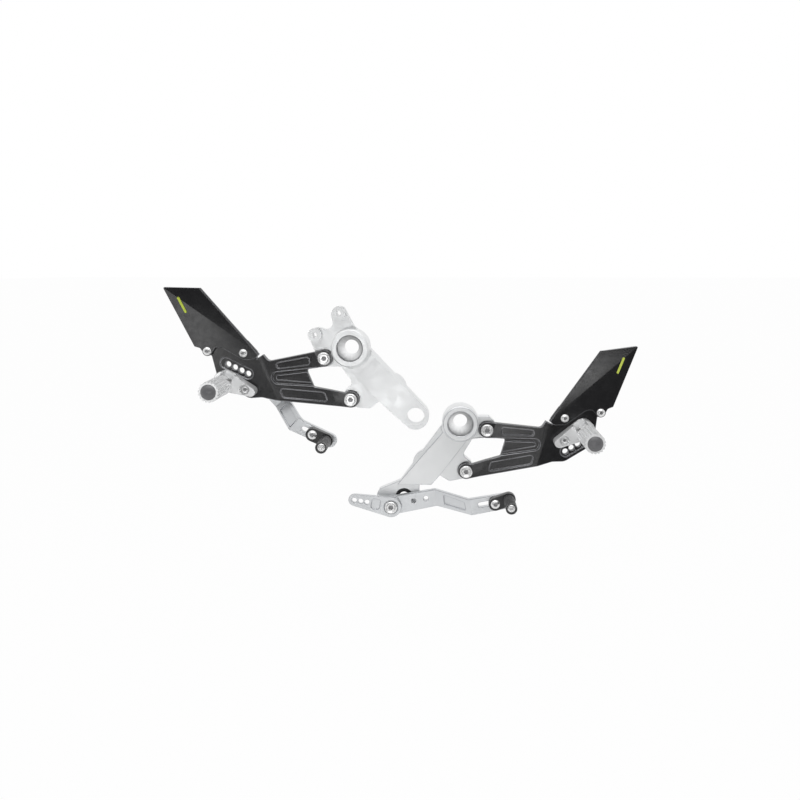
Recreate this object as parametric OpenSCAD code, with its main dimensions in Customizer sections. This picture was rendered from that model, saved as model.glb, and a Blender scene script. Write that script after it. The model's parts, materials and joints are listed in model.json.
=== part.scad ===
// Pair of adjustable rear sets for a motorbike: brake side and shift side.
// Each side is drawn flat in its own frame: x to the rear, y up, z outward from the frame plate.

/* [Layout] */
// Sideways distance from the brake side hub to the shift side hub
side_spacing = 136; // [120:1:200]
// Height of the brake side hub above the shift side hub
side_drop = 98; // [80:1:160]
// How far the shift side stands behind the brake side
side_setback = 30; // [0:1:60]
// Roll of the brake side about its hub, in degrees
brake_roll = 7; // [0:0.5:12]

/* [Frame plate] */
// Outer diameter of the hub
hub_d = 46.4; // [44:0.2:50]
// Depth of the hub, back face to rim
hub_depth = 30; // [24:0.5:34]
// Diameter of the hub's open mouth
hub_mouth_d = 31; // [26:0.5:34]
// Diameter of the bore through the hub
hub_bore_d = 18; // [12:0.5:22]
// Length of the straight bore behind the mouth
hub_bore_len = 8; // [5:0.5:12]
// Thickness of the web that carries the lugs
web_t = 14; // [13.5:0.25:15.5]
// Thickness left under each plate lug
lug_seat_t = 12; // [10:0.25:13]
// Thickness of the down arm next to the hub
arm_near_t = 15.5; // [14:0.5:18]
// Thickness of the brake side down arm at its eye
brake_eye_t = 20; // [16:0.5:24]
// Thickness of the shift side foot that carries the lever
shift_foot_t = 12; // [10:0.5:13.5]
// Outer diameter of the eye at the end of the down arm
eye_d = 33; // [31:0.5:38]
// Bore of the eye
eye_bore_d = 22; // [16:0.5:24]
// Distance from hub to eye on the brake side
brake_eye_distance = 116.5; // [110:0.5:125]
// Distance from hub to eye on the shift side
shift_eye_distance = 124; // [120:0.5:126]
// Spacing of the two master cylinder bosses
cylinder_spacing = 40; // [38:0.5:50]
// Outer diameter of a master cylinder boss
cylinder_boss_d = 16.8; // [14:0.2:20]
// Thickness of a master cylinder boss
cylinder_boss_t = 16; // [12:0.5:20]
// Threaded hole in a master cylinder boss
cylinder_hole_d = 6; // [5:0.5:8]

/* [Peg plate] */
// Thickness of the peg plate
plate_t = 8; // [6:0.25:10]
// Outward step from the lugs to the footpeg end
plate_step = 9; // [6:0.5:10]
// Radius of each lug
lug_r = 10.5; // [9.5:0.25:11]
// Diameter of the two bolts that hold the peg plate
plate_bolt_d = 8; // [6:0.5:10]
// Head diameter of those bolts
plate_bolt_head_d = 16; // [14:0.25:18]
// Head height of those bolts
plate_bolt_head_h = 4.6; // [3:0.2:6]
// Diameter of a position hole
position_hole_d = 6.8; // [6.4:0.1:7.4]
// Distance between position holes
position_pitch = 9; // [8.5:0.25:9.5]
// Position holes in each row
position_count = 4; // [3:1:4]
// Slope of the rows of position holes, in degrees
row_angle = 32.5; // [30:0.5:35]
// Depth of the long recess round each row
row_recess_depth = 1.2; // [0.5:0.1:2]
// Depth of the pockets in the arms
pocket_depth = 2.2; // [1:0.1:3.5]
// Depth of the groove round the raised centre panel
groove_depth = 4.2; // [3:0.1:5]

/* [Heel guard] */
// Thickness of the heel guard
guard_t = 5; // [4.5:0.25:6]
// Fall of the faceted face at the top front corner
guard_fall = 3; // [1:0.25:3.5]
// Width of the bevel along the front edge
guard_bevel = 1.6; // [0.8:0.1:2]
// Shank diameter of the guard screws and the peg block screws
small_screw_d = 6; // [5:0.5:6]
// Head diameter of those screws
small_head_d = 10.4; // [9:0.2:11]
// Head height of those screws
small_head_h = 3.2; // [2.5:0.1:4]

/* [Peg block] */
// Thickness of the peg block
block_t = 15; // [14:0.25:17]
// Radius of the round head that holds the hinge
block_head_r = 12.7; // [12.2:0.1:13.5]
// Radius of the small front end
block_nose_r = 6; // [5.8:0.1:6.6]
// Diameter of the hinge pin
hinge_pin_d = 6; // [5:0.25:7]
// Width of the footpeg's tongue
tongue_w = 9; // [8:0.25:9.5]
// Radius of the tongue round the pin
tongue_r = 5; // [4.5:0.1:5.2]
// Wire diameter of the hinge spring
spring_wire_d = 1.1; // [0.8:0.1:1.2]
// Turns of the hinge spring
spring_turns = 3; // [2:1:3]

/* [Footpeg] */
// Outer diameter of the footpeg
peg_d = 24.4; // [23:0.2:26]
// Length of the footpeg in front of the block
peg_len = 55.5; // [50:0.5:70]
// Length of the plain collar
peg_collar = 8.5; // [7:0.5:12]
// Number of toothed rings along the footpeg
peg_rings = 9; // [6:1:11]
// Teeth round each ring
peg_teeth = 18; // [12:1:20]
// Depth of the gaps between teeth
tooth_depth = 1.7; // [1:0.1:2]
// How far the footpeg folds up, in degrees
peg_fold = 45; // [30:1:45]
// Diameter of the domed end cap
cap_d = 18.2; // [15:0.2:19]
// Height of the dome
cap_h = 4; // [3:0.2:5]

/* [Toe pegs] */
// Outer diameter of a toe peg
toe_d = 14; // [13:0.2:16]
// Length of a toe peg
toe_len = 38; // [30:0.5:45]
// Distance from the link screw to the toe peg
link_len = 18; // [17:0.5:20]
// Radius of the link's round ends
link_r = 8.5; // [8:0.1:9]
// Thickness of the link
link_t = 8; // [6:0.25:10]
// Width of the slot that the link slides along
slot_w = 6.6; // [6.4:0.1:7.2]

/* [Brake pedal] */
// Thickness of the pedal
pedal_t = 8; // [6:0.25:9]
// Outward step from the pivot to the toe end
pedal_step = 23; // [18:0.5:26]
// Radius of the pedal's hub
pedal_hub_r = 13; // [11:0.25:14]
// Distance from the pivot to the pushrod hole
pushrod_arm = 20; // [20:0.5:24]
// Diameter of the pushrod hole
pushrod_hole_d = 6; // [5:0.5:7]
// Outer diameter of both pivot bushes
bush_d = 14; // [13:0.25:16]
// Shoulder diameter of both pivot bolts
pivot_d = 10; // [9:0.25:11]

/* [Gear lever] */
// Thickness of the gear lever
lever_t = 8; // [6:0.25:9]
// Outward step from the pivot to the toe end
lever_step = 17; // [12:0.5:22]
// Thickness of the shift arm on the gear lever
shift_arm_t = 5.4; // [4.5:0.2:8]
// Radius of the shift arm round the pivot
shift_arm_r = 13.5; // [12.5:0.25:15]
// Diameter of the rod holes in the shift arm
rod_hole_d = 6.5; // [5:0.25:7]
// Distance between rod holes
rod_pitch = 8.3; // [7.5:0.1:9]

/* [Fits] */
// Radial gap of a shaft or screw in a close hole
close_gap = 0.05; // [0.03:0.01:0.1]
// Gap between faces that move past each other
running_gap = 0.3; // [0.2:0.05:0.4]

/* [Hidden] */

$fn = 64;
silver = [0.80, 0.81, 0.82];
bright = [0.88, 0.88, 0.89];
black = [0.10, 0.10, 0.11];
dark_grey = [0.28, 0.28, 0.29];
bronze = [0.72, 0.55, 0.33];
past = 1;
far = 400;
// Share of a radius at which a straight edge runs into a round end
tuck = 0.9995;

hub_r = hub_d / 2;
eye_r = eye_d / 2;
upper_lug = [34, -9.2];
lower_lug = [8.2, -63.6];
brake_eye = brake_eye_distance * [-0.592, -0.806];
shift_eye = shift_eye_distance * [-0.581, -0.814];
cylinder_hole_near = [42.5, 20.3];
cylinder_hole_far = cylinder_hole_near + cylinder_spacing * [-0.82, 0.572];

// Peg plate: it bends outward between two creases that lean by crease_lean.
crease_lean = 15.6;
crease_near = 43.4;
crease_far = 107.3;
plate_back = lug_seat_t;
peg_back = plate_back + plate_step;
peg_face = peg_back + plate_t;
guard_front_screw = [129.2, 10];
guard_rear_screw = [173, 17.6];
upper_row = [128.7, -16.3];
lower_row = [132.1, -33.7];
front_edge_end = [109.9, 6.3];
guard_top_front = [169.7, 94.1];
guard_tip = [214.7, 100.6];
guard_rear_corner = [187.8, 24.9];

// Peg block: its own x runs along the row of position holes from the first hole.
block_face = peg_face + block_t;
block_nose = [-7.2, 0.6];
block_head = [3 * position_pitch, -1.5];
hinge_pin_r = hinge_pin_d / 2;
hinge_y = block_head[1];
hinge_z = block_face - 5.5;
peg_axis_drop = 5;
peg_axis_y = hinge_y - peg_axis_drop;
peg_r = peg_d / 2;
peg_back_face = block_face + running_gap;
peg_end_face = peg_back_face + peg_len;
tongue_right = block_head[0] + 6.2;
tongue_left = tongue_right - tongue_w;
slot_right = tongue_right + running_gap;
spring_pitch = spring_wire_d * 1.15;
spring_space = spring_turns * spring_pitch + spring_wire_d + 2 * running_gap;
slot_left = tongue_left - spring_space;
slot_floor = hinge_z - tongue_r - running_gap;
slot_foot = hinge_y - tongue_r - running_gap;
pin_left = slot_left - 5;
pin_right = block_head[0] + block_head_r - 1.5;

// Pivots of the two foot levers.
pedal_pivot = [108.5, -39.5];
lever_pivot = [-88.3, -110.8];
bush_r = bush_d / 2;
pivot_r = pivot_d / 2;
pedal_front = plate_back + 1;
pedal_back = pedal_front - pedal_t;
pedal_toe_front = pedal_front + pedal_step;
pedal_hub_front = peg_back - running_gap;
foot_boss_t = shift_foot_t + 2.7;
lever_back = foot_boss_t + running_gap;
lever_front = lever_back + lever_t;
lever_toe_front = lever_front + lever_step;
shift_arm_front = lever_front + shift_arm_t;
head_recess = 1.5;
pedal_end = [38.5, -109.3];
pedal_toe_way = 211;
pedal_crease_lean = 128;
pedal_crease_near = -14;
pedal_crease_far = 16;
pedal_screw = [57.3, -98];
pedal_link_angle = 210;
lever_end = [60, -96.2];
lever_toe_way = 11;
lever_crease_lean = -10.4;
lever_crease_near = -47.6;
lever_crease_far = -5.6;
lever_screw = [44.6, -98.4];
lever_link_angle = 21;

// Unit vector at an angle
function heading(angle) = [cos(angle), sin(angle)];
// Vector turned left by a quarter turn
function turned_left(v) = [-v[1], v[0]];
function with_z(p, z) = [p[0], p[1], z];

// Start, end, centre and turning side of the arc that rounds one corner
function corner_arc(points, i) =
  let (
    n = len(points),
    here = [points[i][0], points[i][1]],
    before = [points[(i + n - 1) % n][0], points[(i + n - 1) % n][1]],
    after = [points[(i + 1) % n][0], points[(i + 1) % n][1]],
    d_in = (here - before) / norm(here - before),
    d_out = (after - here) / norm(after - here),
    bend = atan2(d_in[0] * d_out[1] - d_in[1] * d_out[0], d_in * d_out),
    r = points[i][2],
    cut = r * tan(abs(bend) / 2),
    side = sign(bend)
  )
  [here - cut * d_in, here + cut * d_out, here - cut * d_in + side * r * turned_left(d_in), side];

// Closed outline of [x, y, corner radius] points, counterclockwise, with true arcs
module rounded_outline(points) {
  last = len(points) - 1;
  arcs = [for (i = [0:last]) corner_arc(points, i)];
  difference() {
    union() {
      polygon([for (i = [0:last])
        each points[i][2] > 0 ? [arcs[i][0], arcs[i][1]] : [[points[i][0], points[i][1]]]]);
      for (i = [0:last])
        if (points[i][2] > 0 && arcs[i][3] > 0)
          translate(arcs[i][2])
            circle(points[i][2] / tuck);
    }
    for (i = [0:last])
      if (points[i][2] > 0 && arcs[i][3] < 0)
        translate(arcs[i][2])
          circle(points[i][2] / tuck);
  }
}

module slab_between(low, high) {
  translate([0, 0, low])
    linear_extrude(height = high - low)
      children();
}

// Upright round post or bore at a point
module post(p, r, low, high) {
  translate(with_z(p, low))
    cylinder(r = r, h = high - low);
}

// Bar with two round ends joined by their common tangents
module tapered_bar(p1, r1, p2, r2, low, high) {
  run = p2 - p1;
  base = atan2(run[1], run[0]);
  half = acos((r1 - r2) / norm(run));
  left = tuck * heading(base + half);
  right = tuck * heading(base - half);
  union() {
    post(p1, r1, low, high);
    post(p2, r2, low, high);
    slab_between(low, high)
      polygon([p1 + r1 * left, p1 + r1 * right, p2 + r2 * right, p2 + r2 * left]);
  }
}

// Layer that steps outward between two parallel creases
module stepped_layer(lean, near, end, low, high, step) {
  rotate([0, 0, -lean])
    rotate([90, 0, 0])
      linear_extrude(height = 2 * far, center = true)
        polygon([[-far, low], [near, low], [end, low + step], [far, low + step],
          [far, high + step], [end, high + step], [near, high], [-far, high]]);
}

// Round screw head with a hexagon socket, seated at z = 0
module screw_head(d, h) {
  dome_r = d * 0.62;
  difference() {
    intersection() {
      cylinder(d = d, h = h);
      translate([0, 0, h - dome_r])
        sphere(dome_r);
    }
    translate([0, 0, h * 0.4])
      cylinder(d = d * 0.42, h = h, $fn = 6);
  }
}

module screw(d, length, head_d, head_h) {
  screw_head(head_d, head_h);
  translate([0, 0, -length])
    cylinder(d = d, h = length + head_h * 0.2);
}

// Flat head with a dished face and a hexagon socket, seated at z = 0
module dished_head(d, h) {
  rim = d * 0.07;
  difference() {
    union() {
      cylinder(d = d, h = h - rim);
      translate([0, 0, h - rim])
        cylinder(d1 = d, d2 = d - 2 * rim, h = rim);
    }
    translate([0, 0, h * 0.65])
      cylinder(d1 = d * 0.6, d2 = d * 0.8, h = h * 0.35 + 0.01);
    translate([0, 0, h * 0.25])
      cylinder(d = d * 0.42, h = h, $fn = 6);
  }
}

module dished_bolt(d, length, head_d, head_h) {
  dished_head(head_d, head_h);
  translate([0, 0, -length])
    cylinder(d = d, h = length + head_h * 0.2);
}

module hexagon_nut(d, across, h) {
  difference() {
    cylinder(d = across / cos(30), h = h, $fn = 6);
    translate([0, 0, -past])
      cylinder(r = d / 2 + close_gap, h = h + 2 * past);
  }
}

// Frame plate

module hub_solid() {
  rim = 1.6;
  cylinder(r = hub_r, h = hub_depth - rim);
  translate([0, 0, hub_depth - rim])
    cylinder(r1 = hub_r, r2 = hub_r - rim, h = rim);
}

module hub_hollow() {
  lip = 1;
  translate([0, 0, -past])
    cylinder(d = hub_bore_d, h = hub_depth);
  translate([0, 0, hub_bore_len])
    cylinder(d1 = hub_bore_d, d2 = hub_mouth_d, h = hub_depth - lip - hub_bore_len);
  translate([0, 0, hub_depth - lip])
    cylinder(d1 = hub_mouth_d, d2 = hub_mouth_d + 2 * lip, h = lip);
  translate([0, 0, hub_depth])
    cylinder(d = hub_mouth_d + 2 * lip, h = past);
}

// Concave fillet where the hub rises from the down arm
module hub_fillet(low) {
  fillet = 3;
  translate([0, 0, low - 0.5])
    rotate_extrude()
      difference() {
        translate([hub_r - 1, 0])
          square([fillet + 1, fillet + 0.5]);
        translate([hub_r + fillet, fillet + 0.5])
          circle(fillet);
      }
}

module down_arm_outline(eye) {
  run = norm(eye);
  rotate([0, 0, atan2(eye[1], eye[0])])
    union() {
      rounded_outline([[0, -16, 0], [run, -eye_r, 0], [run, eye_r, 0], [72, 20.5, 20], [0, 21.5, 0]]);
      translate([run, 0])
        circle(eye_r);
    }
}

// Side profile of the down arm, swept across it
module down_arm_profile(eye, near_t, eye_t, bend_start, bend_end) {
  run = norm(eye);
  rotate([0, 0, atan2(eye[1], eye[0])])
    rotate([90, 0, 0])
      linear_extrude(height = 4 * hub_d, center = true)
        polygon([[-hub_d, 0], [run + eye_d, 0], [run + eye_d, eye_t], [bend_end, eye_t],
          [bend_start, near_t], [-hub_d, near_t]]);
}

// Sloped flat along the outer edge of the down arm, which runs out before the eye
module arm_edge_cut(eye, t, drop) {
  run = norm(eye);
  flat_w = 7;
  start = 20;
  taper = atan(flat_w / (run - start - 12));
  rotate([0, 0, atan2(eye[1], eye[0])])
    translate([start, -eye_r, t - drop])
      rotate([0, 0, -taper])
        rotate([atan(drop / flat_w), 0, 0])
          translate([0, -20, 0])
            cube([run, 60, 20]);
}

module lug_web_outline() {
  rounded_outline([[-24.8, -71.8, 0], [-13.1, -78.6, 4], [6, -74.6, 0], [19, -62, 0],
    [13.8, -52, 1], [5.4, -45.2, 3], [5.4, -39.8, 4], [15.6, -22.3, 3], [34, -20.2, 0],
    [34, 0, 0], [0, 18, 0], [-20, 0, 0]]);
  translate(upper_lug)
    circle(lug_r + 0.7);
  translate(lower_lug)
    circle(lug_r + 0.7);
}

// Seats milled into the web where the peg plate lies, and its threaded holes
module lug_seats() {
  seat_r = lug_r + running_gap;
  tapered_bar(upper_lug, seat_r, upper_lug + 30 * heading(0), seat_r, lug_seat_t, hub_depth);
  tapered_bar(lower_lug, seat_r, lower_lug + 30 * heading(15.8), seat_r + 1, lug_seat_t, hub_depth);
  post(upper_lug, plate_bolt_d / 2 + close_gap, -past, hub_depth);
  post(lower_lug, plate_bolt_d / 2 + close_gap, -past, hub_depth);
}

// Two threaded bosses that carry the rear master cylinder
module cylinder_ears() {
  boss_r = cylinder_boss_d / 2;
  slab_between(0, 10)
    difference() {
      rounded_outline([[44, -6, 0], [51, 19, 6], [39, 30, 6], [25, 23, 8], [19, 31, 8], [20, 46, 6],
        [4, 53, 6], [-6, 26, 12], [-18, 12, 0], [0, -10, 0]]);
      translate(cylinder_hole_near)
        circle(boss_r - 1);
      translate(cylinder_hole_far)
        circle(boss_r - 1);
    }
  post(cylinder_hole_near, boss_r, 0, cylinder_boss_t);
  post(cylinder_hole_far, boss_r, 0, cylinder_boss_t);
}

module brake_frame_plate() {
  color(silver)
    difference() {
      union() {
        hub_solid();
        slab_between(0, web_t)
          lug_web_outline();
        cylinder_ears();
        difference() {
          intersection() {
            slab_between(0, hub_depth)
              down_arm_outline(brake_eye);
            down_arm_profile(brake_eye, arm_near_t, brake_eye_t, 30, 92);
          }
          arm_edge_cut(brake_eye, brake_eye_t, 12);
        }
        intersection() {
          hub_fillet(arm_near_t);
          slab_between(0, hub_depth)
            down_arm_outline(brake_eye);
        }
      }
      hub_hollow();
      lug_seats();
      post(brake_eye, eye_bore_d / 2, -past, hub_depth);
      post(cylinder_hole_near, cylinder_hole_d / 2, -past, hub_depth);
      post(cylinder_hole_far, cylinder_hole_d / 2, -past, hub_depth);
    }
}

module shift_foot_outline() {
  rounded_outline([[-52, -60, 0], [-76, -79, 0], [-104.5, -91.5, 4], [-108, -99, 4],
    [-100.6, -113, 0], [lever_pivot[0] - 2, lever_pivot[1] - 12.3, 0], [-70, -117, 0], [-52, -100, 0]]);
}

module shift_frame_plate() {
  color(silver)
    difference() {
      union() {
        hub_solid();
        slab_between(0, web_t)
          lug_web_outline();
        slab_between(0, web_t)
          rounded_outline([[10, -5, 0], [43, -5, 0], [43.8, 0.6, 0], [36.5, 7.2, 0], [10, 7.2, 0]]);
        slab_between(0, shift_foot_t)
          shift_foot_outline();
        tapered_bar(shift_eye, eye_r, lever_pivot, 12.5, 0, shift_foot_t);
        post(lever_pivot, 11, 0, foot_boss_t);
        difference() {
          slab_between(0, foot_boss_t)
            difference() {
              down_arm_outline(shift_eye);
              translate([-far, -far - 84])
                square([2 * far, far]);
            }
          arm_edge_cut(shift_eye, foot_boss_t, 7.5);
        }
        intersection() {
          hub_fillet(foot_boss_t);
          slab_between(0, hub_depth)
            down_arm_outline(shift_eye);
        }
      }
      hub_hollow();
      lug_seats();
      post(shift_eye, eye_bore_d / 2, -past, hub_depth);
      post(lever_pivot, pivot_r - 1 + close_gap, -past, hub_depth);
    }
}

// Plain black bush pressed in the eye of the shift side
module shift_eye_bush() {
  color(dark_grey)
    translate(with_z(shift_eye, 0))
      difference() {
        cylinder(r = eye_bore_d / 2 - close_gap, h = shift_foot_t);
        translate([0, 0, -past])
          cylinder(d = eye_bore_d * 0.55, h = shift_foot_t + 2 * past);
        translate([0, 0, shift_foot_t - 2])
          cylinder(d1 = eye_bore_d * 0.55, d2 = eye_bore_d * 0.8, h = 2 + 0.01);
      }
}

// Peg plate

module peg_plate_outline() {
  rounded_outline([[10.6, -73.8, 0], [98.3, -53.4, 0], [116, -47.4, 14], [131.5, -46.8, 14],
    [166.5, -24.2, 5], [170.2, 12, 0], [118, 12, 0], [114.6, 1, 0], [106.8, 5, 0.6], [101.2, -3.8, 6],
    [44.8, 0.2, 0], [34.8, 1.3, 0], [28, -9.2, 0], [33.9, -19.7, 0], [57.6, -19.5, 3.5],
    [51.3, -42.4, 2.5], [14, -54.8, 0], [6, -60, 0]]);
  translate(upper_lug)
    circle(lug_r);
  translate(lower_lug)
    circle(lug_r);
}

// Position hole number i of a row, and every hole of both rows
function row_point(row, i) = row + i * position_pitch * heading(row_angle);
function position_holes() =
  [for (row = [upper_row, lower_row]) for (i = [0:position_count - 1]) row_point(row, i)];

module stepped_plate(low, high) {
  stepped_layer(crease_lean, crease_near, crease_far, low, high, plate_step);
}

// Cuts that follow the stepped face of the plate at one depth
module face_cut(depth) {
  intersection() {
    slab_between(0, 2 * hub_depth)
      children();
    stepped_plate(plate_back + plate_t - depth, 2 * hub_depth);
  }
}

module upper_arm_pocket_outline() {
  rounded_outline([[52.6, -14.8, 3], [92.4, -14.6, 3.5], [92.6, -7.2, 3.2], [52.6, -5, 3.2]]);
}

module lower_arm_pocket_outline() {
  rounded_outline([[36.6, -63.2, 2.5], [90.2, -50.8, 4], [93, -38.8, 3], [39.6, -51, 3.5]]);
}

module centre_recess_outline() {
  rounded_outline([[44, -42.8, 0], [97.4, -32.6, 6.5], [103.6, -18, 6.5], [44, -19.3, 0]]);
}

module centre_panel_outline() {
  rounded_outline([[44, -39.2, 0], [94.2, -28.2, 3], [98, -22.6, 3], [44, -23.2, 0]]);
}

module peg_plate() {
  color(black)
    difference() {
      intersection() {
        union() {
          slab_between(0, 2 * hub_depth)
            peg_plate_outline();
          tapered_bar(guard_front_screw, 8, guard_rear_screw, 5.6, 0, 2 * hub_depth);
        }
        stepped_plate(plate_back, plate_back + plate_t);
      }
      face_cut(pocket_depth)
        upper_arm_pocket_outline();
      face_cut(pocket_depth)
        lower_arm_pocket_outline();
      face_cut(groove_depth)
        difference() {
          centre_recess_outline();
          centre_panel_outline();
        }
      face_cut(groove_depth * 0.4)
        centre_panel_outline();
      for (row = [upper_row, lower_row])
        tapered_bar(row, 6.5, row_point(row, position_count - 0.6), 6.5, peg_face - row_recess_depth, far);
      for (p = position_holes())
        post(p, position_hole_d / 2, 0, hub_depth * 2);
      for (p = [upper_lug, lower_lug])
        post(p, plate_bolt_d / 2 + close_gap, 0, hub_depth * 2);
      for (p = [guard_front_screw, guard_rear_screw])
        post(p, small_screw_d / 2 + close_gap, 0, hub_depth * 2);
    }
}

// Brake side only: blind seat for the pedal's pivot bolt
module brake_peg_plate() {
  color(black)
    difference() {
      peg_plate();
      post(pedal_pivot, pivot_r - 1 + close_gap, peg_back - past, peg_face - 2);
    }
}

module plate_bolts() {
  color(bright)
    for (p = [upper_lug, lower_lug])
      translate(with_z(p, plate_back + plate_t))
        dished_bolt(plate_bolt_d, plate_t + lug_seat_t, plate_bolt_head_d, plate_bolt_head_h);
}

// Heel guard

module heel_guard_outline() {
  rounded_outline([[front_edge_end[0], front_edge_end[1], 0.8], [116.2, 1.3, 7], [129.4, 1.2, 12],
    [156, 20.6, 8], [162.6, 20.6, 3], [168.6, 14, 0],
    [guard_rear_screw[0] + 1.5, guard_rear_screw[1] - 3, 0], [179, 17.6, 0],
    [181.4, 22.2, 2], [guard_rear_corner[0], guard_rear_corner[1], 1.2], [guard_tip[0], guard_tip[1], 1.6],
    [guard_top_front[0], guard_top_front[1], 1.2]]);
  translate(guard_rear_screw)
    circle(6.2);
}

// Facet that falls away from the diagonal crease towards the front edge
module guard_facet_cut() {
  run = guard_tip - front_edge_end;
  span = abs(run[1] * (guard_top_front[0] - guard_tip[0]) - run[0] * (guard_top_front[1] - guard_tip[1]))
    / norm(run);
  translate(with_z(front_edge_end, guard_t))
    rotate([0, 0, atan2(run[1], run[0])])
      rotate([-atan(guard_fall / span), 0, 0])
        translate([-20, 0, 0])
          cube([norm(run) + 40, 80, 20]);
}

// Bevel along the front edge, on the fallen facet
module guard_edge_bevel() {
  run = guard_top_front - front_edge_end;
  translate(with_z(front_edge_end, guard_t))
    rotate([0, 0, atan2(run[1], run[0])])
      rotate([0, atan(guard_fall / norm(run)), 0])
        translate([-20, -guard_bevel, 0])
          rotate([-45, 0, 0])
            cube([norm(run) + 40, 20, 20]);
}

module heel_guard() {
  color(black)
    translate([0, 0, peg_face])
      difference() {
        linear_extrude(height = guard_t)
          heel_guard_outline();
        guard_facet_cut();
        guard_edge_bevel();
        for (p = [guard_front_screw, guard_rear_screw])
          post(p, small_screw_d / 2 + close_gap, -past, hub_depth);
      }
}

module heel_guard_screws() {
  color(bright)
    for (p = [guard_front_screw, guard_rear_screw])
      translate(with_z(p, peg_face + guard_t))
        screw(small_screw_d, guard_t + plate_t, small_head_d, small_head_h);
}

// Peg block and hinge, drawn along the row of position holes

module on_row(row) {
  translate([row[0], row[1], 0])
    rotate([0, 0, row_angle])
      children();
}

module peg_block() {
  color(silver)
    difference() {
      tapered_bar(block_nose, block_nose_r, block_head, block_head_r, peg_face, block_face);
      post([0, 0], small_screw_d / 2 + close_gap, 0, far);
      post([0, 0], small_head_d / 2 + 0.6, block_face - small_head_h - 1.5, far);
      post([2 * position_pitch, 0], small_screw_d / 2 + close_gap, 0, slot_floor - 1);
      translate([slot_left, slot_foot, slot_floor])
        cube([slot_right - slot_left, 2 * block_head_r, far]);
      translate([pin_left, hinge_y, hinge_z])
        rotate([0, 90, 0])
          cylinder(r = hinge_pin_r + close_gap, h = 2 * block_head_r);
    }
}

// One screw from the front through the first hole and one from behind at the third
module peg_block_screws() {
  color(bright) {
    translate([0, 0, block_face - small_head_h - 1.5])
      screw(small_screw_d, block_face - small_head_h - 1.5 - peg_back + 6, small_head_d, small_head_h);
    translate([2 * position_pitch, 0, peg_back])
      rotate([180, 0, 0])
        screw(small_screw_d, slot_floor - peg_back - 2, small_head_d, small_head_h);
  }
}

module peg_block_nut() {
  color(bright)
    translate([0, 0, peg_back - 5])
      hexagon_nut(small_screw_d, 10, 5);
}

module peg_hinge_pin() {
  color(bright)
    translate([pin_left + 0.5, hinge_y, hinge_z])
      rotate([0, 90, 0])
        cylinder(r = hinge_pin_r, h = pin_right - pin_left - 0.5);
}

// Point on the coils of the hinge spring after t turns round the pin
function spring_point(t, coil_r) =
  [t * spring_pitch, coil_r * cos(360 * t), coil_r * sin(360 * t)];

// Torsion spring: one leg down to the slot floor, the coils, one leg out to the collar
module peg_spring() {
  coil_r = hinge_pin_r + spring_wire_d / 2 + running_gap;
  inner_leg = tongue_r;
  outer_leg = block_face - hinge_z - running_gap;
  steps = 16;
  sides = 8;
  path = [[0, -inner_leg], for (k = [0:spring_turns * steps]) [k / steps, 0], [spring_turns, outer_leg]];
  last = len(path) - 1;
  w = spring_wire_d / 2;
  rings = [for (stop = path) for (j = [0:sides - 1])
    let (t = stop[0], a = 360 * j / sides)
      spring_point(t, coil_r) + [0, 0, stop[1]]
        + w * cos(a) * [0, cos(360 * t), sin(360 * t)] + w * sin(a) * [1, 0, 0]];
  walls = [for (k = [0:last - 1]) for (j = [0:sides - 1])
    [k * sides + j, k * sides + (j + 1) % sides, (k + 1) * sides + (j + 1) % sides, (k + 1) * sides + j]];
  start_cap = [for (j = [0:sides - 1]) sides - 1 - j];
  end_cap = [for (j = [0:sides - 1]) last * sides + j];
  color(bright)
    translate([slot_left + running_gap + spring_wire_d / 2, hinge_y, hinge_z])
      polyhedron(points = rings, faces = concat([start_cap], walls, [end_cap]));
}

// Footpeg: tongue, collar, then rings of teeth
module footpeg_profile() {
  ring_start = peg_back_face + peg_collar;
  ring_pitch = (peg_end_face - ring_start) / peg_rings;
  groove = ring_pitch * 0.38;
  difference() {
    translate([0, peg_back_face])
      square([peg_r, peg_len]);
    for (i = [0:peg_rings - 1])
      translate([peg_r - tooth_depth, ring_start + i * ring_pitch])
        square([tooth_depth + past, groove]);
  }
}

// Lengthwise V grooves, a little shallower than the grooves round the footpeg
module tooth_gaps() {
  depth = 0.85 * tooth_depth;
  for (i = [0:peg_teeth - 1])
    rotate([0, 0, (i + 0.5) * 360 / peg_teeth])
      translate([peg_r - depth, 0, peg_back_face + peg_collar + 0.4])
        rotate([0, 0, -45])
          cube([3 * depth, 3 * depth, peg_len]);
}

module footpeg() {
  collar_clear = 5.8 + 2.4;
  color(bright)
    difference() {
      union() {
        difference() {
          translate([block_head[0], peg_axis_y, 0])
            difference() {
              rotate_extrude()
                footpeg_profile();
              tooth_gaps();
            }
          translate([0, hinge_y, hinge_z + collar_clear])
            rotate([45, 0, 0])
              translate([-far / 2, -far / 2, -far])
                cube(far);
        }
        translate([tongue_left, hinge_y, hinge_z])
          rotate([0, 90, 0])
            cylinder(r = tongue_r, h = tongue_w);
        translate([tongue_left, hinge_y - tongue_r, hinge_z])
          cube([tongue_w, 2 * tongue_r, 15]);
      }
      translate([tongue_left - past, hinge_y, hinge_z])
        rotate([0, 90, 0])
          cylinder(r = hinge_pin_r + close_gap, h = tongue_w + 2 * past);
      translate([block_head[0], peg_axis_y, peg_end_face - 8])
        cylinder(d = cap_d * 0.5 + 2 * close_gap, h = 8 + past);
    }
}

module peg_end_cap() {
  dome_r = (pow(cap_d / 2, 2) + pow(cap_h, 2)) / (2 * cap_h);
  color(dark_grey)
    translate([block_head[0], peg_axis_y, peg_end_face]) {
      intersection() {
        cylinder(d = cap_d, h = cap_h);
        translate([0, 0, cap_h - dome_r])
          sphere(dome_r);
      }
      translate([0, 0, -7])
        cylinder(d = cap_d * 0.5, h = 7.5);
    }
}

// Adjustable toe peg, drawn with the link screw at the origin and the link along x

module at_toe(p, front, angle) {
  translate(with_z(p, front))
    rotate([0, 0, angle])
      children();
}

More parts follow.
